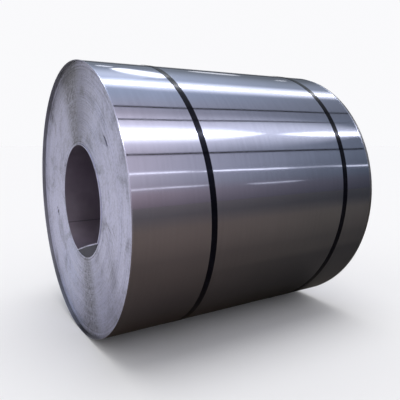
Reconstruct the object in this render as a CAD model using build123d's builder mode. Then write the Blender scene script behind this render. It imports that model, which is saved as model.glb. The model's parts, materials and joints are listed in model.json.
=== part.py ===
"""A coil of cold rolled steel strip, lying on its side, with two steel straps round its girth.

The axis of the coil runs along X. The near end, at -X, is the one whose outermost turns stand proud.
The origin is on the floor, under the middle of the coil. Lengths are in millimetres.
"""

import os
from math import atan2, cos, degrees, radians, sin

from build123d import *

# Strip and winding
strip_width = 1500.0
strip_thickness = 1.5
bore_diameter = 610.0
turn_count = 292

# Ends of the winding. The outermost turns slipped towards the near end, and the others are slightly dished.
lip_turn_count = 2
lip_overhang = 20.0
dish_depth = 8.0
turn_stray = 3.0

# Groups of turns that lie flush, from the bore outwards: their turns, and how far each strays inwards.
group_turn_shares = (3, 9, 24, 30, 17, 38, 26, 41, 22, 35, 27, 14, 4)
group_stray_shares = (-1.0, 0.3, -0.2, 0.4, -0.1, 0.5, 0.1, -0.4, 0.3, -0.2, 0.5, -0.3, 0.0)

# Straps, placed from the rim at their end. A strap leans: its top stands off along the axis.
strap_width = 32.0
strap_thickness = 0.9
strap_clearance = 0.1
strap_overlap = 150.0
near_strap_inset = 410.0
near_strap_lean = -34.0
far_strap_inset = 233.0
far_strap_lean = 35.0

# Seals, the notched sleeves over the overlapped ends of the straps, on the back of the coil.
# Their angles are counted up from the horizontal.
seal_length = 57.0
seal_wall = 1.0
seal_clearance = 0.1
seal_notch_count = 2
seal_notch_pitch = 24.0
seal_notch_width = 5.0
seal_notch_depth = 4.0
near_seal_angle = 43.0
far_seal_angle = 48.0

# Overrun of every cut
overrun = 10.0

# Sizes worked out from those above
bore_radius = bore_diameter / 2
coil_radius = bore_radius + turn_count * strip_thickness
lip_radius = coil_radius - lip_turn_count * strip_thickness
strap_inner_radius = coil_radius + strap_clearance
strap_outer_radius = strap_inner_radius + strap_thickness
overlap_radius = strap_outer_radius + strap_thickness
seal_room_radius = overlap_radius + seal_clearance
seal_outer_radius = seal_room_radius + seal_wall
seal_room_width = strap_width + 2 * seal_clearance
seal_width = seal_room_width + 2 * seal_wall
axis_height = strap_outer_radius


def group_rings():
    """Give each group of turns as its inner radius, its outer radius and its setback from the near rim."""
    build_up = lip_radius - bore_radius
    ring_list = []
    turns_inside = 0
    for turns, stray in zip(group_turn_shares, group_stray_shares):
        inner_share = turns_inside / sum(group_turn_shares)
        turns_inside += turns
        outer_share = turns_inside / sum(group_turn_shares)
        depth_share = 1 - (inner_share + outer_share) / 2
        setback = lip_overhang + dish_depth * depth_share + turn_stray * stray
        ring_list.append((bore_radius + build_up * inner_share, bore_radius + build_up * outer_share, setback))
    ring_list.append((lip_radius, coil_radius, 0))
    return ring_list


def leaning_plane(middle, lean, shift):
    """Give the plane across the axis that leans as a strap does, shifted along its own normal."""
    tilt = atan2(lean, coil_radius)
    normal = Vector(cos(tilt), 0, -sin(tilt))
    return Plane(origin=Vector(middle, 0, axis_height) + normal * shift, z_dir=normal)


def ring_sector(middle, inner, outer, middle_angle, arc_length):
    """Draw a stretch of a ring about the coil's axis, in the plane across it at the strap's middle."""
    arc = degrees(arc_length / inner)
    start = middle_angle - arc / 2
    with BuildSketch(Plane(origin=(middle, 0, axis_height), x_dir=(0, 1, 0), z_dir=(1, 0, 0))) as drawing:
        with BuildLine():
            outer_arc = CenterArc((0, 0), outer, start, arc)
            inner_arc = CenterArc((0, 0), inner, start, arc)
            Line(outer_arc @ 0, inner_arc @ 0)
            Line(outer_arc @ 1, inner_arc @ 1)
        make_face()
    return drawing.sketch


def full_ring(middle, inner, outer):
    """Draw a whole ring about the coil's axis, in the plane across it at the strap's middle."""
    with BuildSketch(Plane(origin=(middle, 0, axis_height), x_dir=(0, 1, 0), z_dir=(1, 0, 0))) as drawing:
        Circle(outer)
        Circle(inner, mode=Mode.SUBTRACT)
    return drawing.sketch


def leaning_band(drawings, middle, lean, width):
    """Make a band of that width from drawings across the axis, with its two edges leaning as the strap."""
    with BuildPart() as band:
        for drawing in drawings:
            extrude(drawing, amount=width + abs(lean) + overrun, both=True)
        split(bisect_by=leaning_plane(middle, lean, width / 2), keep=Keep.BOTTOM)
        split(bisect_by=leaning_plane(middle, lean, -width / 2), keep=Keep.TOP)
    return band.part


def seal_notches(middle, lean, seal_angle):
    """Make the notches that the sealing tool cuts into both edges of a seal and of the strap in it."""
    angle = radians(seal_angle)
    outward = Vector(0, cos(angle), sin(angle))
    along = Vector(lean * cos(angle), -coil_radius * sin(angle), coil_radius * cos(angle)).normalized()
    seat = Vector(middle + lean * sin(angle), 0, axis_height) + outward * coil_radius
    with BuildPart() as notches:
        with BuildSketch(Plane(origin=seat, x_dir=along.cross(outward), z_dir=outward)):
            with GridLocations(seal_width, seal_notch_pitch, 2, seal_notch_count):
                Rectangle(2 * seal_notch_depth, seal_notch_width)
        extrude(amount=overrun, both=True)
    return notches.part


rings = group_rings()
near_rim = -(strip_width + max(setback for inner, outer, setback in rings)) / 2
far_rim = near_rim + rings[-2][2] + strip_width
straps = {
    "near_strap": (near_rim + near_strap_inset, near_strap_lean, near_seal_angle),
    "far_strap": (far_rim - far_strap_inset, far_strap_lean, far_seal_angle),
}

# The coil, turned from its half section: up the steps of the near end, and down those of the far end
near_steps = []
far_steps = []
for inner, outer, setback in rings:
    near_face = near_rim + setback
    near_steps += [(near_face, inner), (near_face, outer)]
    far_steps += [(near_face + strip_width, inner), (near_face + strip_width, outer)]

with BuildPart() as coil:
    with BuildSketch(Plane(origin=(0, 0, axis_height), x_dir=(1, 0, 0), z_dir=(0, -1, 0))):
        with BuildLine():
            Polyline(*near_steps, *reversed(far_steps), close=True)
        make_face()
    revolve(axis=Axis((0, 0, axis_height), (1, 0, 0)))
coil.part.label = "coil"

os.makedirs("parts", exist_ok=True)
export_step(coil.part, "parts/coil.step")

# The straps and their seals. A strap goes once round the coil, and its upper end lies over its lower end.
for name, (middle, lean, seal_angle) in straps.items():
    notches = seal_notches(middle, lean, seal_angle)

    loop = full_ring(middle, strap_inner_radius, strap_outer_radius)
    upper_end = ring_sector(middle, strap_outer_radius, overlap_radius, seal_angle, strap_overlap)
    with BuildPart() as strap:
        add(leaning_band([loop, upper_end], middle, lean, strap_width))
        add(notches, mode=Mode.SUBTRACT)
    strap.part.label = name
    export_step(strap.part, f"parts/{name}.step")

    sleeve = ring_sector(middle, strap_inner_radius, seal_outer_radius, seal_angle, seal_length)
    room = ring_sector(middle, strap_inner_radius - overrun, seal_room_radius, seal_angle, seal_length + overrun)
    with BuildPart() as seal:
        add(leaning_band([sleeve], middle, lean, seal_width))
        add(leaning_band([room], middle, lean, seal_room_width), mode=Mode.SUBTRACT)
        add(notches, mode=Mode.SUBTRACT)
    seal.part.label = f"{name}_seal"
    export_step(seal.part, f"parts/{name}_seal.step")
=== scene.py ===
"""Looks of a strapped steel coil: its wound turns, painted straps, zinc seals and a plain studio."""

import json
import math
import random

import bpy
from bpy.props import FloatProperty, FloatVectorProperty, IntProperty, PointerProperty
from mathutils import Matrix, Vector


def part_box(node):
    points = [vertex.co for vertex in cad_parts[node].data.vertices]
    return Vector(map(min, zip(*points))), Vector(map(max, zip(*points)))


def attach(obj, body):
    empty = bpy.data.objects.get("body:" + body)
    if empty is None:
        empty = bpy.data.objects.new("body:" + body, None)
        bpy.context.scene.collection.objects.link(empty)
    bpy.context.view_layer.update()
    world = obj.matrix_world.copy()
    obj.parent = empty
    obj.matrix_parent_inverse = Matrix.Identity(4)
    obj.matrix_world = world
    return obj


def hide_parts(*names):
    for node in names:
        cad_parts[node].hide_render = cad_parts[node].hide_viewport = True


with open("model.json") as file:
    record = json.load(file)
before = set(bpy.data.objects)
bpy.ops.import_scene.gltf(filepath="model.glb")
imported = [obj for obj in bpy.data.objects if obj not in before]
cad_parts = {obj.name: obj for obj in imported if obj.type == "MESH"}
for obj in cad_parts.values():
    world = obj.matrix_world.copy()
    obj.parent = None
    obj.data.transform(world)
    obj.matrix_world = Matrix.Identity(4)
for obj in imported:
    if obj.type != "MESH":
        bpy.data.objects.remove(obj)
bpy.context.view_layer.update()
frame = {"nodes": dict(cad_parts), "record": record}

bl_info = {
    "name": "Strapped steel coil",
    "version": (1, 0, 0),
    "blender": (4, 5, 0),
    "location": "View3D > Sidebar > Steel coil",
    "description": "Models and finishes a coil of steel strip with its girth straps and a studio round it",
    "category": "Add Mesh",
}

# Places that the frame gives
bore_mount = frame["record"]["mounts"][0]
AXIS_HEIGHT = bore_mount["pos_m"][2]
BORE_RADIUS = bore_mount["dims"]["r_mm"] / 1000
coil_low, coil_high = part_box("coil")
COIL_RADIUS = (coil_high.y - coil_low.y) / 2
NEAR_RIM = coil_low.x

# The winding, as the part's source has it, in metres. Groups of turns lie flush, from the bore outwards.
STRIP_WIDTH = 1.5
STRIP_THICKNESS = 0.0015
LIP_RADIUS = COIL_RADIUS - 2 * STRIP_THICKNESS
LIP_OVERHANG = 0.020
DISH_DEPTH = 0.008
TURN_STRAY = 0.003
GROUP_TURNS = (3, 9, 24, 30, 17, 38, 26, 41, 22, 35, 27, 14, 4)
GROUP_STRAY_SHARES = (-1.0, 0.3, -0.2, 0.4, -0.1, 0.5, 0.1, -0.4, 0.3, -0.2, 0.5, -0.3, 0.0)

# The studio: how bright it is where it is seen, where it lights the floor and at the hall's far end, and
# the hall's radius
SEEN_LEVEL = 0.97
FLOOR_LEVEL = 0.75
FAR_END_LEVEL = 0.85
HALL_RADIUS = 300


def linear(hex_colour):
    """Turn an sRGB hex colour into scene linear red, green and blue."""
    channels = [int(hex_colour[i : i + 2], 16) / 255 for i in (1, 3, 5)]
    return [c / 12.92 if c <= 0.04045 else ((c + 0.055) / 1.055) ** 2.4 for c in channels]


class CoilLooks(bpy.types.PropertyGroup):
    """Sizes and colours of the wound strip."""

    segments: IntProperty(name="Segments", description="Steps of the spin round the axis", default=160)
    ring_turns: IntProperty(name="Turns in a ring", description="Most turns that one ring shows", default=6)
    groove: FloatProperty(
        name="Groove", description="Depth of the grooves between rings", default=0.0006, unit="LENGTH"
    )
    tail_angle: FloatProperty(
        name="Tail", description="The strip's end on the skin", subtype="ANGLE", default=math.radians(-52)
    )
    head_angle: FloatProperty(
        name="Head", description="The strip's start in the bore", subtype="ANGLE", default=math.radians(-32)
    )
    skin_colour: FloatVectorProperty(
        name="Skin", description="Bright strip", subtype="COLOR", default=linear("#a8abc0")
    )
    edge_light: FloatVectorProperty(
        name="Light edges", description="Clean slit edges", subtype="COLOR", default=linear("#bcbcd3")
    )
    # The dark edge colour shows both soil and painted shade
    edge_dark: FloatVectorProperty(
        name="Dark edges", description="Soiled slit edges", subtype="COLOR", default=linear("#62616a")
    )
    bore_colour: FloatVectorProperty(
        name="Bore", description="Oiled innermost turn", subtype="COLOR", default=linear("#a398a6")
    )
    # The lip's colour is partly oil and partly painted shade on the inside of the proud turns
    lip_oil_and_shade: FloatVectorProperty(
        name="Lip", description="Oiled inside of the proud turns", subtype="COLOR", default=linear("#8e8d91")
    )
    gap_colour: FloatVectorProperty(
        name="Gaps", description="Shade between opened turns", subtype="COLOR", default=linear("#3a3945")
    )
    sprung: FloatProperty(
        name="Sprung turns", description="Sag of the innermost turns", default=0.058, unit="LENGTH"
    )


class StrapLooks(bpy.types.PropertyGroup):
    """Colours of the straps and their seals."""

    paint: FloatVectorProperty(
        name="Paint", description="Baked black strap paint", subtype="COLOR", default=linear("#030308")
    )
    scuff: FloatVectorProperty(
        name="Scuff", description="Rubbed strap paint", subtype="COLOR", default=linear("#0c0c13")
    )
    gloss: FloatVectorProperty(
        name="Gloss", description="Blue cast of the paint's gloss", subtype="COLOR", default=linear("#c4ceff")
    )
    zinc: FloatVectorProperty(
        name="Zinc", description="Galvanised seal", subtype="COLOR", default=linear("#a9abac")
    )


class StageLooks(bpy.types.PropertyGroup):
    """The camera, the floor and what the metal mirrors."""

    floor: FloatVectorProperty(
        name="Floor", description="Pale floor", subtype="COLOR", default=linear("#eeeeef")
    )
    mat: FloatVectorProperty(
        name="Mat", description="Dark mat in front", subtype="COLOR", default=linear("#6c5c4b")
    )
    far_mat: FloatVectorProperty(
        name="Far mat", description="The mat towards the horizon", subtype="COLOR", default=linear("#5a524b")
    )
    right_cast: FloatVectorProperty(
        name="Right cast", description="Cast of the mat's right", subtype="COLOR", default=linear("#f2fff8")
    )
    strip: FloatVectorProperty(
        name="Strip", description="Dark strip behind the near end", subtype="COLOR", default=linear("#404044")
    )
    floor_strip: FloatVectorProperty(
        name="Floor strip", description="Grey strip on the floor", subtype="COLOR", default=linear("#bcbcc0")
    )
    left_sky: FloatVectorProperty(
        name="Left sky", description="Tint to the left in front", subtype="COLOR", default=linear("#fff4f7")
    )
    right_sky: FloatVectorProperty(
        name="Right sky", description="Tint to the right in front", subtype="COLOR", default=linear("#e3f2ff")
    )
    low_cast: FloatVectorProperty(
        name="Low cast", description="Cast low in front", subtype="COLOR", default=linear("#fff0ee")
    )
    sky: FloatVectorProperty(
        name="Sky", description="Tint of the soft light", subtype="COLOR", default=linear("#fdfdff")
    )
    high_sky: FloatVectorProperty(
        name="High sky", description="Tint high behind", subtype="COLOR", default=linear("#e6f2ff")
    )
    camera_place: FloatVectorProperty(
        name="Camera", description="Place of the camera", subtype="XYZ", default=(-1.5126, -2.4590, 1.1125)
    )
    camera_yaw: FloatProperty(
        name="Yaw", description="Turn from +Y towards +X", subtype="ANGLE", default=math.radians(32.164)
    )
    camera_pitch: FloatProperty(
        name="Pitch", description="Tilt of the view", subtype="ANGLE", default=math.radians(-8.303)
    )
    lens: FloatProperty(name="Lens", description="Focal length in millimetres", default=41.34)


def add_node(tree, kind, inputs=None, **settings):
    """Add a node with its settings and give its first output that is in use.

    Each input is a value, or a socket to link from.
    """
    node = tree.nodes.new(kind)
    for name, value in settings.items():
        setattr(node, name, value)
    for socket, value in (inputs or {}).items():
        if isinstance(value, bpy.types.NodeSocket):
            tree.links.new(value, node.inputs[socket])
        else:
            node.inputs[socket].default_value = value
    return next(output for output in node.outputs if output.enabled)


def new_material(name):
    """Start a material and give its tree and its shader."""
    material = bpy.data.materials.new(name)
    material.use_nodes = True
    tree = material.node_tree
    return material, tree, tree.nodes["Principled BSDF"]


def rgba(colour):
    """Give a colour with full alpha."""
    return (*colour, 1.0)


def polar_nodes(tree):
    """Give the place, its offset from the coil's axis and its angle round it, as sockets."""
    place = add_node(tree, "ShaderNodeTexCoord").node.outputs["Object"]
    centred = add_node(tree, "ShaderNodeVectorMath", {0: place, 1: (0, 0, AXIS_HEIGHT)}, operation="SUBTRACT")
    outward = add_node(tree, "ShaderNodeVectorMath", {0: centred, 1: (0, 1, 1)}, operation="MULTIPLY")
    parts = add_node(tree, "ShaderNodeSeparateXYZ", {0: outward}).node.outputs
    angle = add_node(tree, "ShaderNodeMath", {0: parts["Z"], 1: parts["Y"]}, operation="ARCTAN2")
    return place, outward, angle


def bright_strip(looks):
    """Cold rolled strip: ground rolls leave it mirror-like, with faint streaks along the rolling."""
    material, tree, shader = new_material("cold_rolled_strip")
    place, _, angle = polar_nodes(tree)
    spot = add_node(tree, "ShaderNodeSeparateXYZ", {0: place}).node.outputs
    along = spot["X"]
    # Streaks 10 to 20 mm wide that run round the coil; the rolls' own marks are finer than a pixel
    lane = add_node(tree, "ShaderNodeCombineXYZ", {"X": along, "Y": angle})
    lane_scaled = add_node(tree, "ShaderNodeVectorMath", {0: lane, 1: (70, 0.6, 1)}, operation="MULTIPLY")
    streak = add_node(tree, "ShaderNodeTexNoise", {"Vector": lane_scaled, "Scale": 1.0, "Detail": 3.0})
    # Oil film and handling, in clouds about a hand wide
    cloud = add_node(tree, "ShaderNodeTexNoise", {"Vector": place, "Scale": 6.0, "Detail": 4.0})
    dull = add_node(tree, "ShaderNodeMath", {0: streak, 1: cloud}, operation="MULTIPLY")
    shade = add_node(
        tree,
        "ShaderNodeMapRange",
        {"Value": dull, "From Min": 0.12, "From Max": 0.4, "To Min": 1.03, "To Max": 0.96},
    )
    rough = add_node(
        tree,
        "ShaderNodeMapRange",
        {"Value": dull, "From Min": 0.12, "From Max": 0.4, "To Min": 0.06, "To Max": 0.085},
    )
    # The burr of the slit edges along a few millimetres, rubbed dull; its brighter colour is a painted
    # highlight of the burr catching the light, all round the near rim and on the upper part of the far one
    foot, head = AXIS_HEIGHT + 0.15, AXIS_HEIGHT + 0.4
    upper_painted_light = add_node(tree, "ShaderNodeMapRange", {"Value": spot["Z"], "From Min": foot, "From Max": head})
    for rim, inwards, brighter, rougher, kept in (
        (NEAR_RIM, 0.005, 0.2, 0.15, 1.0),
        (NEAR_RIM + STRIP_WIDTH, -0.007, 0.4, 0.2, upper_painted_light),
    ):
        solid, faded = rim + inwards, rim + 1.3 * inwards
        burr_and_highlight = add_node(
            tree,
            "ShaderNodeMapRange",
            {"Value": along, "From Min": solid, "From Max": faded, "To Min": 1.0, "To Max": 0.0},
        )
        burr_and_highlight = add_node(tree, "ShaderNodeMath", {0: burr_and_highlight, 1: kept}, operation="MULTIPLY")
        highlight_gain = add_node(tree, "ShaderNodeMath", {0: burr_and_highlight, 1: brighter, 2: 1.0}, operation="MULTIPLY_ADD")
        shade = add_node(tree, "ShaderNodeMath", {0: shade, 1: highlight_gain}, operation="MULTIPLY")
        rough = add_node(tree, "ShaderNodeMath", {0: burr_and_highlight, 1: rougher, 2: rough}, operation="MULTIPLY_ADD")
    colour = add_node(tree, "ShaderNodeVectorMath", {0: looks.skin_colour, 1: shade}, operation="MULTIPLY")
    # The strip isn't quite round: slow waves a few tenths of a millimetre high bend the reflections
    wave = add_node(tree, "ShaderNodeTexNoise", {"Vector": place, "Scale": 2.5, "Detail": 1.0})
    bent = add_node(tree, "ShaderNodeBump", {"Height": wave, "Strength": 1.0, "Distance": 0.0012})
    shader.inputs["Metallic"].default_value = 1.0
    tree.links.new(colour, shader.inputs["Base Color"])
    tree.links.new(rough, shader.inputs["Roughness"])
    tree.links.new(bent, shader.inputs["Normal"])
    return material


def slit_edges(looks):
    """Slit strip edges, stacked turn on turn: satin steel, soiled in clouds.

    The rings stretch the sheen outwards, in wedges from the bore. Painted shade darkens those above and below
    the bore, and the top of the rim.
    """
    material, tree, shader = new_material("slit_strip_edges")
    place, outward, angle = polar_nodes(tree)
    radius = add_node(tree, "ShaderNodeVectorMath", {0: outward}, operation="LENGTH")
    way = add_node(tree, "ShaderNodeVectorMath", {0: outward}, operation="NORMALIZE")
    # Rings about 7 mm wide stand for the 1.5 mm turns, which are finer than a pixel
    lane = add_node(tree, "ShaderNodeCombineXYZ", {"X": radius, "Y": angle})
    lane_scaled = add_node(tree, "ShaderNodeVectorMath", {0: lane, 1: (140, 2.5, 1)}, operation="MULTIPLY")
    ring = add_node(tree, "ShaderNodeTexNoise", {"Vector": lane_scaled, "Scale": 1.0, "Detail": 4.0})
    # Soil in clouds 50 to 150 mm wide, with ragged edges
    cloud = add_node(
        tree,
        "ShaderNodeTexNoise",
        {"Vector": place, "Scale": 7.0, "Detail": 7.0, "Roughness": 0.62, "Distortion": 0.6},
    )
    soil_and_shade = add_node(
        tree,
        "ShaderNodeMapRange",
        {"Value": cloud, "From Min": 0.46, "From Max": 0.72, "To Min": 0.0, "To Max": 0.5},
        interpolation_type="SMOOTHSTEP",
    )
    # Fine rub marks and veins of dried oil
    vein_noise = add_node(
        tree,
        "ShaderNodeTexNoise",
        {"Vector": place, "Scale": 5.0, "Detail": 6.0, "Roughness": 0.55, "Distortion": 1.5},
    )
    off_centre = add_node(tree, "ShaderNodeMath", {0: vein_noise, 1: 0.5}, operation="SUBTRACT")
    vein_width = add_node(tree, "ShaderNodeMath", {0: off_centre}, operation="ABSOLUTE")
    vein = add_node(
        tree,
        "ShaderNodeMapRange",
        {"Value": vein_width, "From Min": 0.0, "From Max": 0.01, "To Min": 0.28, "To Max": 0.0},
    )
    grain = add_node(tree, "ShaderNodeTexNoise", {"Vector": place, "Scale": 90.0, "Detail": 3.0})
    speck = add_node(
        tree,
        "ShaderNodeMapRange",
        {"Value": grain, "From Min": 0.35, "From Max": 0.7, "To Min": -0.1, "To Max": 0.2},
    )
    ring_and_shade_tone = add_node(
        tree,
        "ShaderNodeMapRange",
        {"Value": ring, "From Min": 0.3, "From Max": 0.7, "To Min": -0.12, "To Max": 0.2},
    )
    # Clean rings at the bore and at the rim, each with a dark joint beside it, and soil that thickens to the
    # rim: their middles, half widths and amounts of soil
    for middle, half, amount in (
        (BORE_RADIUS + 0.007, 0.009, -0.3),
        (BORE_RADIUS + 0.019, 0.004, 0.45),
        (LIP_RADIUS - 0.020, 0.008, -0.25),
        (LIP_RADIUS - 0.031, 0.004, 0.3),
        (LIP_RADIUS, 0.11, 0.12),
    ):
        off = add_node(tree, "ShaderNodeMath", {0: radius, 1: middle}, operation="SUBTRACT")
        off = add_node(tree, "ShaderNodeMath", {0: off}, operation="ABSOLUTE")
        band = add_node(
            tree,
            "ShaderNodeMapRange",
            {"Value": off, "From Min": 0.0, "From Max": half, "To Min": amount, "To Max": 0.0},
            interpolation_type="SMOOTHSTEP",
        )
        ring_and_shade_tone = add_node(tree, "ShaderNodeMath", {0: ring_and_shade_tone, 1: band}, operation="ADD")
    # Painted shade: the top of the rim is darker, where its sheen shows a dim reflection
    top = (0, 0.42, 0.91)
    upward = add_node(tree, "ShaderNodeVectorMath", {0: way, 1: top}, operation="DOT_PRODUCT")
    upper_painted_light = add_node(
        tree,
        "ShaderNodeMapRange",
        {"Value": upward, "From Min": 0.8, "From Max": 0.98, "To Min": 0.0, "To Max": 0.6},
        interpolation_type="SMOOTHSTEP",
    )
    outer = add_node(tree, "ShaderNodeMapRange", {"Value": radius, "From Min": 0.55, "From Max": LIP_RADIUS})
    painted_top_shade = add_node(tree, "ShaderNodeMath", {0: upper_painted_light, 1: outer}, operation="MULTIPLY")
    ring_and_shade_tone = add_node(tree, "ShaderNodeMath", {0: ring_and_shade_tone, 1: painted_top_shade}, operation="ADD")
    # Scrapes across the turns beside the bore, from a lifting hook, oil in a knocked turn and a stain below
    # them: places, turns in degrees, half lengths and widths, shares that are solid, and amounts
    ragged, endless = 0.012, 100
    wobble = add_node(tree, "ShaderNodeTexNoise", {"Vector": place, "Scale": 30.0}).node.outputs["Color"]
    wobbled = add_node(
        tree, "ShaderNodeVectorMath", {0: wobble, 1: [ragged] * 3, 2: place}, operation="MULTIPLY_ADD"
    )
    for across, height, turn, length, width, core, amount in (
        (-0.407, 0.665, 39, 0.063, 0.0035, 0.4, 0.8),
        (-0.470, 0.655, 40, 0.046, 0.003, 0.4, 0.8),
        (-0.395, 0.600, 62, 0.050, 0.0025, 0.4, 0.8),
        (0.470, 0.618, 72, 0.026, 0.007, 0.4, 0.9),
        (-0.450, 0.450, 75, 0.170, 0.080, 0.1, 0.4),
    ):
        local = add_node(
            tree,
            "ShaderNodeMapping",
            {
                "Vector": wobbled,
                "Location": (0, across + ragged / 2, height + ragged / 2),
                "Rotation": (math.radians(turn), 0, 0),
                "Scale": (endless, length, width),
            },
            vector_type="TEXTURE",
        )
        reach = add_node(tree, "ShaderNodeVectorMath", {0: local}, operation="LENGTH")
        scrape = add_node(
            tree,
            "ShaderNodeMapRange",
            {"Value": reach, "From Min": core, "From Max": 1.0, "To Min": amount, "To Max": 0.0},
        )
        vein = add_node(tree, "ShaderNodeMath", {0: vein, 1: scrape}, operation="MAXIMUM")
    # Painted shade: dark wedges above and below the bore, where the rings' sheen shows a dark reflection, in
    # mottles about 20 mm wide
    lean = math.radians(10)
    sideways = (0, math.cos(lean), -math.sin(lean))
    aside = add_node(tree, "ShaderNodeVectorMath", {0: way, 1: sideways}, operation="DOT_PRODUCT")
    aside = add_node(tree, "ShaderNodeMath", {0: aside}, operation="ABSOLUTE")
    wedge_shade = add_node(
        tree,
        "ShaderNodeMapRange",
        {"Value": aside, "From Min": 0.05, "From Max": 0.31, "To Min": 1.0, "To Max": 0.0},
        interpolation_type="SMOOTHSTEP",
    )
    mottle = add_node(
        tree, "ShaderNodeTexNoise", {"Vector": place, "Scale": 42.0, "Detail": 5.0, "Roughness": 0.7}
    )
    mottle = add_node(
        tree,
        "ShaderNodeMapRange",
        {"Value": mottle, "From Min": 0.36, "From Max": 0.66, "To Min": 0.25, "To Max": 0.9},
    )
    wedge_shade = add_node(tree, "ShaderNodeMath", {0: wedge_shade, 1: mottle}, operation="MULTIPLY")
    # The painted wedge shade is weaker at the far end
    along = add_node(tree, "ShaderNodeSeparateXYZ", {0: place}).node.outputs["X"]
    kept = add_node(
        tree,
        "ShaderNodeMapRange",
        {"Value": along, "From Min": -0.1, "From Max": 0.1, "To Min": 1.0, "To Max": 0.35},
    )
    wedge_shade = add_node(tree, "ShaderNodeMath", {0: wedge_shade, 1: kept}, operation="MULTIPLY")
    soil_and_shade = add_node(tree, "ShaderNodeMath", {0: soil_and_shade, 1: wedge_shade}, operation="MAXIMUM")
    # Soil, veins and specks are the edges' own; the wedges and the top of the rim in them are painted shade
    dirt_and_shade = add_node(tree, "ShaderNodeMath", {0: soil_and_shade, 1: vein}, operation="MAXIMUM")
    dirt_and_shade = add_node(tree, "ShaderNodeMath", {0: dirt_and_shade, 1: speck}, operation="ADD")
    dirt_and_shade = add_node(tree, "ShaderNodeMath", {0: dirt_and_shade, 1: ring_and_shade_tone}, operation="ADD", use_clamp=True)
    colour = add_node(
        tree,
        "ShaderNodeMix",
        {"Factor": dirt_and_shade, "A": rgba(looks.edge_light), "B": rgba(looks.edge_dark)},
        data_type="RGBA",
    )
    rough = add_node(tree, "ShaderNodeMapRange", {"Value": dirt_and_shade, "To Min": 0.28, "To Max": 0.38})
    uneven = add_node(tree, "ShaderNodeBump", {"Height": ring, "Strength": 0.5, "Distance": 0.0008})
    shader.inputs["Metallic"].default_value = 1.0
    shader.inputs["Anisotropic"].default_value = 0.9
    tree.links.new(colour, shader.inputs["Base Color"])
    tree.links.new(rough, shader.inputs["Roughness"])
    tree.links.new(uneven, shader.inputs["Normal"])
    tree.links.new(way, shader.inputs["Tangent"])
    return material


def oiled_steel(name, colour, roughness, line=None):
    """Steel under a dull film of oil, as in the bore and inside the proud turns.

    A dark line of painted shade can run along the axis, where the strip starts, with painted light below it.
    """
    material, tree, shader = new_material(name)
    place, _, angle = polar_nodes(tree)
    cloud = add_node(tree, "ShaderNodeTexNoise", {"Vector": place, "Scale": 9.0, "Detail": 5.0})
    shade = add_node(
        tree,
        "ShaderNodeMapRange",
        {"Value": cloud, "From Min": 0.3, "From Max": 0.7, "To Min": 1.06, "To Max": 0.8},
    )
    if line is not None:
        # Painted shade of the gap under the strip's inner end, about 5 mm wide, with the oil that gathers
        # there
        off = add_node(tree, "ShaderNodeMath", {0: angle, 1: line}, operation="SUBTRACT")
        off = add_node(tree, "ShaderNodeMath", {0: off}, operation="ABSOLUTE")
        gap = add_node(
            tree, "ShaderNodeMapRange", {"Value": off, "From Min": 0.003, "From Max": 0.014, "To Min": 0.55}
        )
        shade = add_node(tree, "ShaderNodeMath", {0: shade, 1: gap}, operation="MULTIPLY")
        # Painted light: lighter below that end, where light falls on the bore's lower wall, a little darker
        # above
        below = add_node(tree, "ShaderNodeMath", {0: line, 1: angle}, operation="SUBTRACT")
        painted_lower_light = add_node(
            tree,
            "ShaderNodeMapRange",
            {"Value": below, "From Min": -0.02, "From Max": 0.5, "To Min": 0.92, "To Max": 1.6},
        )
        shade = add_node(tree, "ShaderNodeMath", {0: shade, 1: painted_lower_light}, operation="MULTIPLY")
    tone = add_node(tree, "ShaderNodeVectorMath", {0: colour, 1: shade}, operation="MULTIPLY")
    shader.inputs["Metallic"].default_value = 1.0
    shader.inputs["Roughness"].default_value = roughness
    tree.links.new(tone, shader.inputs["Base Color"])
    return material


def strap_paint(looks):
    """Baked black strap paint: glossy, with rubbed patches that catch a little more light."""
    material, tree, shader = new_material("black_strap_paint")
    place = add_node(tree, "ShaderNodeTexCoord").node.outputs["Object"]
    rub = add_node(tree, "ShaderNodeTexNoise", {"Vector": place, "Scale": 35.0, "Detail": 4.0})
    worn = add_node(tree, "ShaderNodeMapRange", {"Value": rub, "From Min": 0.52, "From Max": 0.8})
    colour = add_node(
        tree,
        "ShaderNodeMix",
        {"Factor": worn, "A": rgba(looks.paint), "B": rgba(looks.scuff)},
        data_type="RGBA",
    )
    rough = add_node(tree, "ShaderNodeMapRange", {"Value": worn, "To Min": 0.1, "To Max": 0.22})
    tree.links.new(colour, shader.inputs["Base Color"])
    shader.inputs["Specular IOR Level"].default_value = 0.17
    shader.inputs["Specular Tint"].default_value = rgba(looks.gloss)
    tree.links.new(rough, shader.inputs["Roughness"])
    return material


def seal_zinc(looks):
    """Galvanised seal steel: dull grey with the mottle of the zinc's crystals."""
    material, tree, shader = new_material("galvanised_seal")
    place = add_node(tree, "ShaderNodeTexCoord").node.outputs["Object"]
    crystal = add_node(tree, "ShaderNodeTexVoronoi", {"Vector": place, "Scale": 160.0}).node.outputs["Color"]
    tone = add_node(tree, "ShaderNodeSeparateXYZ", {0: crystal}).node.outputs["X"]
    shade = add_node(tree, "ShaderNodeMapRange", {"Value": tone, "To Min": 0.86, "To Max": 1.06})
    colour = add_node(tree, "ShaderNodeVectorMath", {0: looks.zinc, 1: shade}, operation="MULTIPLY")
    shader.inputs["Metallic"].default_value = 1.0
    shader.inputs["Roughness"].default_value = 0.45
    tree.links.new(colour, shader.inputs["Base Color"])
    return material


def setback(share):
    """Give how far the turns at that share of the winding stand back from the near rim.

    The flush groups of the winding run into each other, from the middle of one to the middle of the next.
    """
    total = sum(GROUP_TURNS)
    inside = 0
    middles = []
    for turns, stray in zip(GROUP_TURNS, GROUP_STRAY_SHARES):
        middles.append(((inside + turns / 2) / total, stray))
        inside += turns
    stray = middles[0][1] if share < middles[0][0] else middles[-1][1]
    for (here, low), (there, high) in zip(middles, middles[1:]):
        if here <= share <= there:
            stray = low + (high - low) * (share - here) / (there - here)
    return LIP_OVERHANG + DISH_DEPTH * (1 - share) + TURN_STRAY * stray


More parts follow.
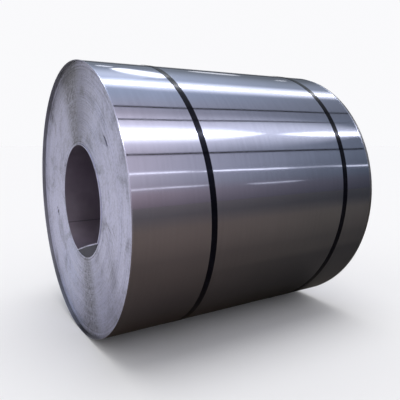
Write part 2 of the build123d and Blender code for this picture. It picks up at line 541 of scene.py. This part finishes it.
def end_steps(looks, side):
    """Give the points of one end's half section, from the bore to the rim, as places along X and radii."""
    pick = random.Random(11)
    uneven = 0.0003
    turns = sum(GROUP_TURNS)
    # Turns after which a joint stands open
    joints = (5, 14, turns - 18, turns - 4)
    shift = STRIP_WIDTH if side > 0 else 0
    chamfer = STRIP_THICKNESS / 4
    points = []
    done = 0
    while done < turns:
        to_stops = [stop - done for stop in (*joints, turns) if stop > done]
        here = min(pick.randint(2, looks.ring_turns), *to_stops)
        face = NEAR_RIM + shift + setback((done + here / 2) / turns) + pick.uniform(-uneven, uneven)
        inner = BORE_RADIUS + done * STRIP_THICKNESS
        wide = 3 if done in joints else 1
        done += here
        outer = BORE_RADIUS + done * STRIP_THICKNESS
        if points:
            points.append((face - side * looks.groove * wide, inner))
        points += [(face, inner + chamfer * wide if points else inner), (face, outer - chamfer)]
    rim = NEAR_RIM + shift
    return points + [(points[-1][0], LIP_RADIUS), (rim, LIP_RADIUS), (rim, COIL_RADIUS)]


def draw_chain(name, points):
    """Start a piece as one vertex and extrude it from point to point, and leave it open in edit mode."""
    bpy.ops.mesh.primitive_plane_add(size=0.01, location=points[0])
    piece = bpy.context.object
    piece.name = name
    bpy.ops.object.transform_apply(location=True, rotation=True, scale=True)
    bpy.ops.object.mode_set(mode="EDIT")
    bpy.ops.mesh.merge(type="CENTER")
    for here, there in zip(points, points[1:]):
        step = Vector(there) - Vector(here)
        bpy.ops.mesh.extrude_region_move(TRANSFORM_OT_translate={"value": step})
    return piece


def polar(place):
    """Give a place's radius from the coil's axis and its angle up from the back's horizontal."""
    return math.hypot(place.y, place.z - AXIS_HEIGHT), math.atan2(place.z - AXIS_HEIGHT, place.y)


def move_outward(vertex, amount):
    """Move a vertex along its own radius."""
    radius, angle = polar(vertex.co)
    vertex.co.y = (radius + amount) * math.cos(angle)
    vertex.co.z = AXIS_HEIGHT + (radius + amount) * math.sin(angle)


class OBJECT_OT_wound_coil(bpy.types.Operator):
    """Turn the wound strip from its half section, with the rings of its turns on both ends"""

    bl_idname = "object.wound_coil"
    bl_label = "Wound coil"

    def execute(self, context):
        looks = context.scene.coil_looks
        near = end_steps(looks, -1)
        far = end_steps(looks, 1)
        skin_bands, bore_bands = 12, 8
        skin_points = [(NEAR_RIM + STRIP_WIDTH * i / skin_bands, COIL_RADIUS) for i in range(1, skin_bands)]
        bore_length = far[0][0] - near[0][0]
        bore_points = [(far[0][0] - bore_length * i / bore_bands, BORE_RADIUS) for i in range(1, bore_bands)]
        outline = near + skin_points + far[::-1] + bore_points + near[:1]
        start = looks.tail_angle
        coil = draw_chain(
            "wound_coil",
            [(x, r * math.cos(start), AXIS_HEIGHT + r * math.sin(start)) for x, r in outline],
        )
        bpy.ops.mesh.select_all(action="SELECT")
        # The spin is cut at the strip's two ends, where a narrow step lets the end stand up
        step = STRIP_THICKNESS / COIL_RADIUS
        to_head = (looks.head_angle - looks.tail_angle) % (2 * math.pi)
        sweeps = [
            (to_head - step, max(1, round(looks.segments * to_head / (2 * math.pi)))),
            (step, 1),
            (2 * math.pi - to_head - step, round(looks.segments * (1 - to_head / (2 * math.pi)))),
            (step, 1),
        ]
        for sweep, steps in sweeps:
            bpy.ops.mesh.spin(steps=steps, angle=sweep, center=(0, 0, AXIS_HEIGHT), axis=(1, 0, 0))
        bpy.ops.mesh.select_all(action="SELECT")
        bpy.ops.mesh.remove_doubles(threshold=1e-5)
        bpy.ops.mesh.normals_make_consistent(inside=False)
        bpy.ops.object.mode_set(mode="OBJECT")

        # The turn below dips as it runs under the strip's end, on the skin and in the bore
        ramp = math.radians(30)
        dip = 0.9 * STRIP_THICKNESS
        for vertex in coil.data.vertices:
            radius, angle = polar(vertex.co)
            to_tail = (looks.tail_angle - angle) % (2 * math.pi)
            to_head = (angle - looks.head_angle) % (2 * math.pi)
            if radius > LIP_RADIUS + STRIP_THICKNESS / 2 and step / 2 < to_tail < ramp:
                move_outward(vertex, -dip * (1 - to_tail / ramp))
            if radius < BORE_RADIUS + STRIP_THICKNESS / 8 and step / 2 < to_head < ramp:
                move_outward(vertex, dip * (1 - to_head / ramp))

        # Turns knocked inwards on the near end: between two radii and two angles in degrees, and how deep
        nicks = (
            (0.521, 0.531, 138.0, 145.0, 0.006),
            (0.488, 0.502, -15.6, -12.0, 0.005),
            (0.474, 0.489, -18.0, -14.2, 0.005),
        )
        for vertex in coil.data.vertices:
            radius, angle = polar(vertex.co)
            for inner, outer, start, end, depth in nicks:
                share = (math.degrees(angle) - start) / (end - start)
                if vertex.co.x < 0 and inner < radius < outer and 0 < share < 1:
                    vertex.co.x += depth * math.sin(math.pi * share)

        # The innermost turns have sprung off the rest, low in the bore, and lie down again further in
        sprung_reach = BORE_RADIUS + 4.9 * STRIP_THICKNESS
        sprung_start, sprung_end, sprung_depth, bluntness = -141.0, -74.0, 0.45, 0.7
        for vertex in coil.data.vertices:
            radius, angle = polar(vertex.co)
            share = (math.degrees(angle) - sprung_start) / (sprung_end - sprung_start)
            depth = (vertex.co.x - near[0][0]) / sprung_depth
            if radius < sprung_reach and 0 < share < 1 and depth < 1:
                sag = looks.sprung * math.sin(math.pi * share) ** bluntness
                move_outward(vertex, -sag * (1 - max(depth, 0)))

        # The faces' materials, in the order of their slots
        skin, edges, bore, lip, gap = range(5)
        for material in (
            bright_strip(looks),
            slit_edges(looks),
            oiled_steel("oiled_bore_steel", looks.bore_colour, 0.45, looks.head_angle),
            # The inside of the proud turns: oiled, and darkened with painted shade
            oiled_steel("oiled_shaded_lip_steel", looks.lip_oil_and_shade, 0.35),
            oiled_steel("shaded_gap_steel", looks.gap_colour, 0.5),
        ):
            coil.data.materials.append(material)
        nick_edge = 0.001
        for face in coil.data.polygons:
            radius, angle = polar(face.center)
            radii = [polar(coil.data.vertices[i].co)[0] for i in face.vertices]
            opened = min(radii) < BORE_RADIUS and max(radii) > sprung_reach
            knocked = face.center.x < 0 and any(
                inner + nick_edge < radius < outer - nick_edge and start < math.degrees(angle) < end
                for inner, outer, start, end, depth in nicks
            )
            upright = abs(face.normal.x) < 0.5
            if upright and radius > LIP_RADIUS + STRIP_THICKNESS / 2:
                face.material_index = skin
            elif upright and radius < BORE_RADIUS + STRIP_THICKNESS:
                face.material_index = bore
            elif upright and radius > LIP_RADIUS - STRIP_THICKNESS:
                face.material_index = lip
            # Opened turns and knocked nicks take the gap colour, a painted shade in their gaps and hollows
            elif opened or knocked:
                face.material_index = gap
            else:
                face.material_index = edges
        bpy.ops.object.shade_smooth_by_angle(angle=math.radians(30))
        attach(coil, "root")
        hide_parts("coil")
        return {"FINISHED"}


class OBJECT_OT_girth_straps(bpy.types.Operator):
    """Finish the girth straps and their seals"""

    bl_idname = "object.girth_straps"
    bl_label = "Girth straps"

    def execute(self, context):
        looks = context.scene.strap_looks
        paint = strap_paint(looks)
        zinc = seal_zinc(looks)
        for name in ("near_strap", "far_strap"):
            for node, material in ((name, paint), (name + "_seal", zinc)):
                materials = frame["nodes"][node].data.materials
                materials.clear()
                materials.append(material)
        return {"FINISHED"}


def only_in_metal(card):
    """Keep a card of the stage out of the picture, so that it only shows as a reflection."""
    for kind in ("camera", "diffuse", "transmission", "volume_scatter", "shadow"):
        setattr(card, f"visible_{kind}", False)


def seen_in_skin(looks, seen_at, along, reach):
    """Give the place whose reflection the camera sees on the skin, and the way across it.

    The skin shows it at an angle above the axis and a length from the near rim, and it hangs at that reach.
    """
    angle = math.radians(seen_at)
    normal = Vector((0, -math.cos(angle), math.sin(angle)))
    skin = Vector((NEAR_RIM + along, 0, AXIS_HEIGHT)) + normal * COIL_RADIUS
    sight = Vector(looks.camera_place) - skin
    slope = -sight.x / sight.yz.length
    sight.x = 0
    sight.normalize()
    out = 2 * normal.dot(sight) * normal - sight
    across = Vector((0, -out.z, out.y))
    return skin + reach * (out + Vector((slope, 0, 0))), across


def reflection_card(looks, name, seen_from, seen_to, span, ends, level, soft):
    """Hang a strip that only metal shows: a soft lamp, or a dark bar where the level is below zero."""
    reach = 6.0
    bpy.ops.mesh.primitive_plane_add(size=2)
    card = bpy.context.object
    card.name = name
    half = reach * math.tan(math.radians(2 * span))
    for corner in card.data.vertices:
        far = corner.co.x > 0
        place, across = seen_in_skin(looks, seen_to if far else seen_from, ends[far], reach)
        corner.co = place + across * half * corner.co.y

    material, tree, shader = new_material(name)
    tree.nodes.remove(shader)
    uv = add_node(tree, "ShaderNodeTexCoord").node.outputs["UV"]
    parts = add_node(tree, "ShaderNodeSeparateXYZ", {0: uv}).node.outputs
    # It narrows to its ends and runs out softly to its sides
    sides = []
    for axis in "XY":
        doubled = add_node(
            tree, "ShaderNodeMath", {0: parts[axis], 1: 2.0, 2: -1.0}, operation="MULTIPLY_ADD"
        )
        sides.append(add_node(tree, "ShaderNodeMath", {0: doubled}, operation="ABSOLUTE"))
    ends_off = add_node(tree, "ShaderNodeMath", {0: sides[0], 1: 4.0}, operation="POWER")
    width = add_node(tree, "ShaderNodeMath", {0: 1.0, 1: ends_off}, operation="SUBTRACT")
    spread = add_node(tree, "ShaderNodeMath", {0: sides[1], 1: width}, operation="DIVIDE")
    profile = add_node(
        tree,
        "ShaderNodeMapRange",
        {"Value": spread, "From Min": 1.0, "From Max": 1.0 - soft},
        interpolation_type="SMOOTHSTEP",
    )
    shade = add_node(
        tree, "ShaderNodeMapRange", {"Value": profile, "To Min": 1.0, "To Max": 1.0 + min(level, 0.0)}
    )
    glow = add_node(tree, "ShaderNodeMath", {0: profile, 1: max(level, 0.0)}, operation="MULTIPLY")
    clear = add_node(tree, "ShaderNodeBsdfTransparent", {"Color": shade})
    light = add_node(tree, "ShaderNodeEmission", {"Strength": glow})
    both = add_node(tree, "ShaderNodeAddShader", {0: clear, 1: light})
    tree.links.new(both, tree.nodes["Material Output"].inputs["Surface"])
    card.data.materials.append(material)
    only_in_metal(card)


def mat_shades(tree, place, looks):
    """Give the front mat's tone and how much of it is there, as sockets.

    It darkens near the coil in a painted shadow of the coil, and to the right, where it takes a cast, and
    runs out to the left.
    """
    # How steeply the skin looks down on a spot, and how far along the skin the camera sees that spot: the
    # camera stands to the side, so it sees spots further away from the skin further along and closer together
    nearest, slope, slant = 0.1, 0.424, 0.571
    spot = add_node(tree, "ShaderNodeSeparateXYZ", {0: place}).node.outputs
    away = add_node(tree, "ShaderNodeMath", {0: -COIL_RADIUS, 1: spot["Y"]}, operation="SUBTRACT")
    away = add_node(tree, "ShaderNodeMath", {0: away, 1: nearest}, operation="MAXIMUM")
    dip = add_node(tree, "ShaderNodeMath", {0: AXIS_HEIGHT, 1: away}, operation="DIVIDE")
    along = add_node(tree, "ShaderNodeMath", {0: away, 1: -slope, 2: spot["X"]}, operation="MULTIPLY_ADD")
    along = add_node(tree, "ShaderNodeMath", {0: along, 1: NEAR_RIM}, operation="SUBTRACT")
    spread = add_node(tree, "ShaderNodeMath", {0: away, 1: slant, 2: 1.0}, operation="MULTIPLY_ADD")
    along = add_node(tree, "ShaderNodeMath", {0: along, 1: spread}, operation="DIVIDE")
    distance, close, right = (
        add_node(tree, "ShaderNodeMapRange", {"Value": measure, "From Min": start, "From Max": end})
        for measure, start, end in ((dip, 0.4, 0.16), (dip, 1.6, 6.0), (along, 0.4, 1.3))
    )
    tone, cast = (
        add_node(tree, "ShaderNodeMix", {"Factor": share, "A": first, "B": rgba(last)}, data_type="RGBA")
        for share, first, last in (
            (distance, rgba(looks.mat), looks.far_mat),
            (right, (1, 1, 1, 1), looks.right_cast),
        )
    )
    tone = add_node(tree, "ShaderNodeVectorMath", {0: tone, 1: cast}, operation="MULTIPLY")
    far_right, near_right = (
        add_node(tree, "ShaderNodeMath", {0: along, 1: share}, operation="MULTIPLY")
        for share in (distance, close)
    )
    # Factors of the tone: along which measure, from where to where, and their values there
    for measure, start, end, first, last in (
        (along, 0.0, 2.0, 1.3, 0.42),
        (far_right, 0.1, 1.3, 1.0, 0.5),
        # This row and the last darken the mat near the coil: a painted shadow of the coil
        (near_right, 0.5, 1.4, 1.0, 0.66),
        (dip, 0.16, 0.03, 1.0, 1.5),
        (dip, 0.6, 1.6, 1.0, 0.68),
    ):
        shade = add_node(
            tree,
            "ShaderNodeMapRange",
            {"Value": measure, "From Min": start, "From Max": end, "To Min": first, "To Max": last},
        )
        tone = add_node(tree, "ShaderNodeVectorMath", {0: tone, 1: shade}, operation="MULTIPLY")
    there = add_node(
        tree,
        "ShaderNodeMapRange",
        {"Value": along, "From Min": -0.55, "From Max": 0.0},
        interpolation_type="SMOOTHSTEP",
    )
    return tone, there


def dark_card(name, corners, soft, colour=None, mat_looks=None):
    """Set up a dull dark card, which only metal shows: in one colour, or in the mat's shades.

    Its corners go left and right at the near side, then at the far side. The shares of it that run out softly
    are counted from the left, the right, the near and the far side.
    """
    bpy.ops.mesh.primitive_plane_add(size=2)
    card = bpy.context.object
    card.name = name
    for vertex, corner in zip(card.data.vertices, corners):
        vertex.co = corner
    material, tree, shader = new_material(name)
    place = add_node(tree, "ShaderNodeTexCoord").node.outputs
    across = add_node(tree, "ShaderNodeSeparateXYZ", {0: place["UV"]}).node.outputs
    whole = 1.0
    if mat_looks is not None:
        tone, whole = mat_shades(tree, place["Object"], mat_looks)
        tree.links.new(tone, shader.inputs["Base Color"])
    else:
        shader.inputs["Base Color"].default_value = rgba(colour)
    for axis, side, share in zip("XXYY", (0, 1, 0, 1), soft):
        if share:
            edge = add_node(
                tree,
                "ShaderNodeMapRange",
                {"Value": across[axis], "From Min": side, "From Max": abs(side - share)},
                interpolation_type="SMOOTHSTEP",
            )
            whole = add_node(tree, "ShaderNodeMath", {0: whole, 1: edge}, operation="MULTIPLY")
    tree.links.new(whole, shader.inputs["Alpha"])
    shader.inputs["Roughness"].default_value = 0.9
    card.data.materials.append(material)
    only_in_metal(card)


class OBJECT_OT_studio_stage(bpy.types.Operator):
    """Set the camera, the floor, the light and what the metal mirrors"""

    bl_idname = "object.studio_stage"
    bl_label = "Studio stage"

    def execute(self, context):
        looks = context.scene.stage_looks
        camera = bpy.data.cameras.new("camera")
        camera.lens = looks.lens
        camera.sensor_width = 36.0
        place = bpy.data.objects.new("camera", camera)
        place.location = looks.camera_place
        place.rotation_euler = (math.pi / 2 + looks.camera_pitch, 0, -looks.camera_yaw)
        context.scene.collection.objects.link(place)
        context.scene.camera = place

        # A floor that runs out to the horizon
        reach = 40.0
        bpy.ops.mesh.primitive_circle_add(vertices=96, radius=reach, fill_type="NGON")
        floor = context.object
        floor.name = "floor"
        material, tree, shader = new_material("pale_floor")
        shader.inputs["Base Color"].default_value = rgba(looks.floor)
        shader.inputs["Roughness"].default_value = 1.0
        shader.inputs["Specular IOR Level"].default_value = 0.0
        floor.data.materials.append(material)

        self.set_world(context, looks)
        self.set_hall(looks)
        # Soft light from above, for the floor alone
        lamp = bpy.data.lights.new("overhead", "SUN")
        lamp.energy = 1.15
        lamp.angle = math.radians(40)
        overhead = bpy.data.objects.new("overhead", lamp)
        overhead.visible_glossy = False
        context.scene.collection.objects.link(overhead)

        # A dark mat in front keeps the lower half of the skin dark. A strip on the floor and a card behind it
        # make the wedges on the near end.
        low, raised = 0.004, 0.008
        left, right, back, top, lean = -3.5, -2.1, 6.5, 6, 0.25
        dark_card(
            "front_mat",
            [(-0.8, 0.4, low), (reach, 0.4, low), (-reach, -reach, low), (reach, -reach, low)],
            (0, 0, 0.01, 0),
            mat_looks=looks,
        )
        dark_card(
            "back_mat",
            [(-1.17, -0.15, raised), (-0.57, -0.15, raised), (left, back, raised), (right, back, raised)],
            (0.4, 0.4, 0, 0),
            looks.floor_strip,
        )
        dark_card(
            "back_card",
            [(left, back, 0), (right, back, 0), (left + lean, back, top), (right + lean, back, top)],
            (0.4, 0.4, 0, 0.25),
            looks.strip,
        )

        # Lamps and bars: the angles on the skin at which their ends are seen, half their width in degrees,
        # where along the skin their ends are seen, their level and the share of them that is soft
        for row in (
            ("high_strip", 53.3, 53.3, 5.2, (-0.4, 2.0), 1.9, 1.0),
            ("broad_glow", 30.2, 30.2, 10.5, (-1.6, 1.65), 1.0, 1.0),
            ("near_softbox", 29.1, 29.3, 4.9, (-0.9, 0.78), 1.7, 0.95),
            ("far_softbox", 29.2, 29.2, 2.2, (0.86, 2.2), 2.0, 0.9),
            ("front_line", 15.8, 14.2, 0.4, (-0.2, 1.9), 0.7, 0.6),
            ("front_line_near", 15.9, 15.6, 0.45, (-0.2, 0.33), 1.2, 0.6),
            ("front_line_middle", 15.4, 14.9, 0.4, (0.36, 0.92), 1.6, 0.6),
            ("front_line_far", 14.5, 14.2, 0.4, (1.2, 1.9), 1.4, 0.6),
            ("low_line_near", 10.8, 10.4, 0.4, (-0.2, 0.42), 1.0, 0.6),
            ("low_line_middle", 9.9, 9.6, 0.35, (0.6, 0.98), 1.0, 0.6),
            ("back_window", 65.0, 60.4, 4.2, (0.09, 0.39), 2.2, 0.7),
            ("rim_glow", 60.0, 58.5, 6.5, (-0.3, 0.26), 0.35, 1.0),
            ("rim_window", 67.9, 67.5, 1.0, (0.03, 0.12), 1.2, 0.6),
            ("middle_window", 71.0, 70.0, 2.0, (0.56, 0.92), 0.9, 0.9),
            ("far_window", 67.0, 66.6, 1.0, (1.15, 1.24), 0.9, 0.9),
            ("high_core_near", 53.3, 53.3, 1.6, (-0.3, 0.85), 6.5, 1.0),
            ("high_core_far", 53.3, 53.3, 1.4, (0.95, 1.7), 5.5, 1.0),
            ("near_core", 29.3, 29.3, 1.7, (-0.5, 0.66), 7.5, 1.0),
            ("far_core", 29.2, 29.2, 1.3, (1.0, 1.6), 9.0, 1.0),
            ("high_bar", 40.6, 40.6, 0.5, (-0.6, 2.2), -1.0, 0.3),
            ("middle_bar", 35.1, 35.0, 0.42, (-0.6, 1.5), -1.0, 0.3),
            ("low_bar", 22.0, 22.0, 0.5, (-0.6, 2.2), -1.0, 0.3),
            ("back_bar", 75.0, 75.0, 3.5, (-0.6, 2.2), -0.65, 0.5),
        ):
            reflection_card(looks, *row)

        context.scene.view_settings.view_transform = "Standard"
        return {"FINISHED"}

    def set_world(self, context, looks):
        """Light the room evenly, white as it is seen and softer where it lights the floor."""
        world = bpy.data.worlds.new("studio")
        context.scene.world = world
        world.use_nodes = True
        tree = world.node_tree
        ray = add_node(tree, "ShaderNodeLightPath").node.outputs
        seen = ray["Is Camera Ray"]
        for kind in ("Is Glossy Ray", "Is Transmission Ray"):
            seen = add_node(tree, "ShaderNodeMath", {0: seen, 1: ray[kind]}, operation="MAXIMUM")
        level = add_node(
            tree, "ShaderNodeMapRange", {"Value": seen, "To Min": FLOOR_LEVEL, "To Max": SEEN_LEVEL}
        )
        background = tree.nodes["Background"]
        background.inputs["Color"].default_value = rgba(looks.sky)
        tree.links.new(level, background.inputs["Strength"])

    def set_hall(self, looks):
        """Hang a dome that only metal shows: pale, but dim to the right in front and high behind."""
        bpy.ops.mesh.primitive_uv_sphere_add(segments=64, ring_count=32, radius=HALL_RADIUS)
        dome = bpy.context.object
        dome.name = "hall"
        material, tree, shader = new_material("hall")
        tree.nodes.remove(shader)
        place = add_node(tree, "ShaderNodeTexCoord").node.outputs["Object"]
        way = add_node(tree, "ShaderNodeVectorMath", {0: place}, operation="NORMALIZE")
        parts = add_node(tree, "ShaderNodeSeparateXYZ", {0: way}).node.outputs
        measures = {axis: parts[axis] for axis in "XYZ"}
        # Height above the horizon in the plane across the coil's axis
        across = add_node(tree, "ShaderNodeVectorMath", {0: way, 1: (0, 1, 1)}, operation="MULTIPLY")
        across = add_node(tree, "ShaderNodeVectorMath", {0: across}, operation="NORMALIZE")
        measures["rise"] = add_node(tree, "ShaderNodeSeparateXYZ", {0: across}).node.outputs["Z"]
        # Ramps of brightness, and of the shares that are dim, tinted or behind: along which measure, from
        # where to where, and their values there
        ramps = {}
        for name, axis, start, end, low, high, step in (
            ("front", "Z", -0.02, 0.4, 0.21, 0.62, "LINEAR"),
            ("front_top", "Z", 0.6, 0.85, 1.0, 0.89, "SMOOTHSTEP"),
            ("zenith", "rise", 0.955, 0.995, 1.0, 0.85, "SMOOTHSTEP"),
            ("side", "X", 0.3, 0.85, 1.87, 0.35, "LINEAR"),
            ("right", "X", 0.1, 0.36, 0.0, 1.0, "SMOOTHSTEP"),
            ("back_high", "rise", 0.53, 0.88, 0.22, 0.64, "SMOOTHSTEP"),
            ("back_top", "rise", 0.9, 0.985, 1.0, 0.8, "LINEAR"),
            ("back_side", "X", 0.45, 0.82, 1.65, 0.62, "LINEAR"),
            ("high", "rise", 0.28, 0.42, 0.0, 1.0, "SMOOTHSTEP"),
            ("low", "rise", 0.32, 0.12, 0.0, 1.0, "SMOOTHSTEP"),
            ("tint", "X", 0.4, 0.8, 0.0, 1.0, "LINEAR"),
            ("far_end", "X", 0.87, 0.95, 0.0, 1.0, "SMOOTHSTEP"),
            ("behind", "Y", -0.25, 0.25, 0.0, 1.0, "SMOOTHSTEP"),
        ):
            ramps[name] = add_node(
                tree,
                "ShaderNodeMapRange",
                {"Value": measures[axis], "From Min": start, "From Max": end, "To Min": low, "To Max": high},
                interpolation_type=step,
            )
        sides = []
        for dim_ramps, where in (
            (("front", "front_top", "zenith", "side"), "right"),
            (("back_high", "back_top", "back_side"), "high"),
        ):
            dim = 1.0
            for name in dim_ramps:
                dim = add_node(tree, "ShaderNodeMath", {0: dim, 1: ramps[name]}, operation="MULTIPLY")
            sides.append(add_node(tree, "ShaderNodeMix", {"Factor": ramps[where], "A": SEEN_LEVEL, "B": dim}))
        level = add_node(tree, "ShaderNodeMix", {"Factor": ramps["behind"], "A": sides[0], "B": sides[1]})
        level = add_node(tree, "ShaderNodeMix", {"Factor": ramps["far_end"], "A": level, "B": FAR_END_LEVEL})
        high_behind = add_node(
            tree, "ShaderNodeMath", {0: ramps["high"], 1: ramps["behind"]}, operation="MULTIPLY"
        )
        tint = rgba(looks.sky)
        front_tint = add_node(
            tree,
            "ShaderNodeMix",
            {"Factor": ramps["tint"], "A": rgba(looks.left_sky), "B": rgba(looks.right_sky)},
            data_type="RGBA",
        )
        low_cast = add_node(
            tree,
            "ShaderNodeMix",
            {"Factor": ramps["low"], "A": (1, 1, 1, 1), "B": rgba(looks.low_cast)},
            data_type="RGBA",
        )
        front_tint = add_node(
            tree, "ShaderNodeVectorMath", {0: front_tint, 1: low_cast}, operation="MULTIPLY"
        )
        for factor, colour in (
            (ramps["right"], front_tint),
            (ramps["behind"], rgba(looks.sky)),
            (high_behind, rgba(looks.high_sky)),
        ):
            tint = add_node(
                tree, "ShaderNodeMix", {"Factor": factor, "A": tint, "B": colour}, data_type="RGBA"
            )
        light = add_node(tree, "ShaderNodeEmission", {"Color": tint, "Strength": level})
        tree.links.new(light, tree.nodes["Material Output"].inputs["Surface"])
        dome.data.materials.append(material)
        only_in_metal(dome)


class VIEW3D_PT_steel_coil(bpy.types.Panel):
    """Lists the steps that make the coil"""

    bl_label = "Steel coil"
    bl_space_type = "VIEW_3D"
    bl_region_type = "UI"
    bl_category = "Steel coil"

    def draw(self, context):
        for step in (OBJECT_OT_wound_coil, OBJECT_OT_girth_straps, OBJECT_OT_studio_stage):
            self.layout.operator(step.bl_idname)


CLASSES = (
    CoilLooks,
    StrapLooks,
    StageLooks,
    OBJECT_OT_wound_coil,
    OBJECT_OT_girth_straps,
    OBJECT_OT_studio_stage,
    VIEW3D_PT_steel_coil,
)


def register():
    for cls in CLASSES:
        bpy.utils.register_class(cls)
    bpy.types.Scene.coil_looks = PointerProperty(type=CoilLooks)
    bpy.types.Scene.strap_looks = PointerProperty(type=StrapLooks)
    bpy.types.Scene.stage_looks = PointerProperty(type=StageLooks)


def unregister():
    del bpy.types.Scene.stage_looks
    del bpy.types.Scene.strap_looks
    del bpy.types.Scene.coil_looks
    for cls in reversed(CLASSES):
        bpy.utils.unregister_class(cls)


def main():
    register()
    bpy.ops.object.wound_coil()
    bpy.ops.object.girth_straps()
    bpy.ops.object.studio_stage()


if __name__ == "__main__":
    main()
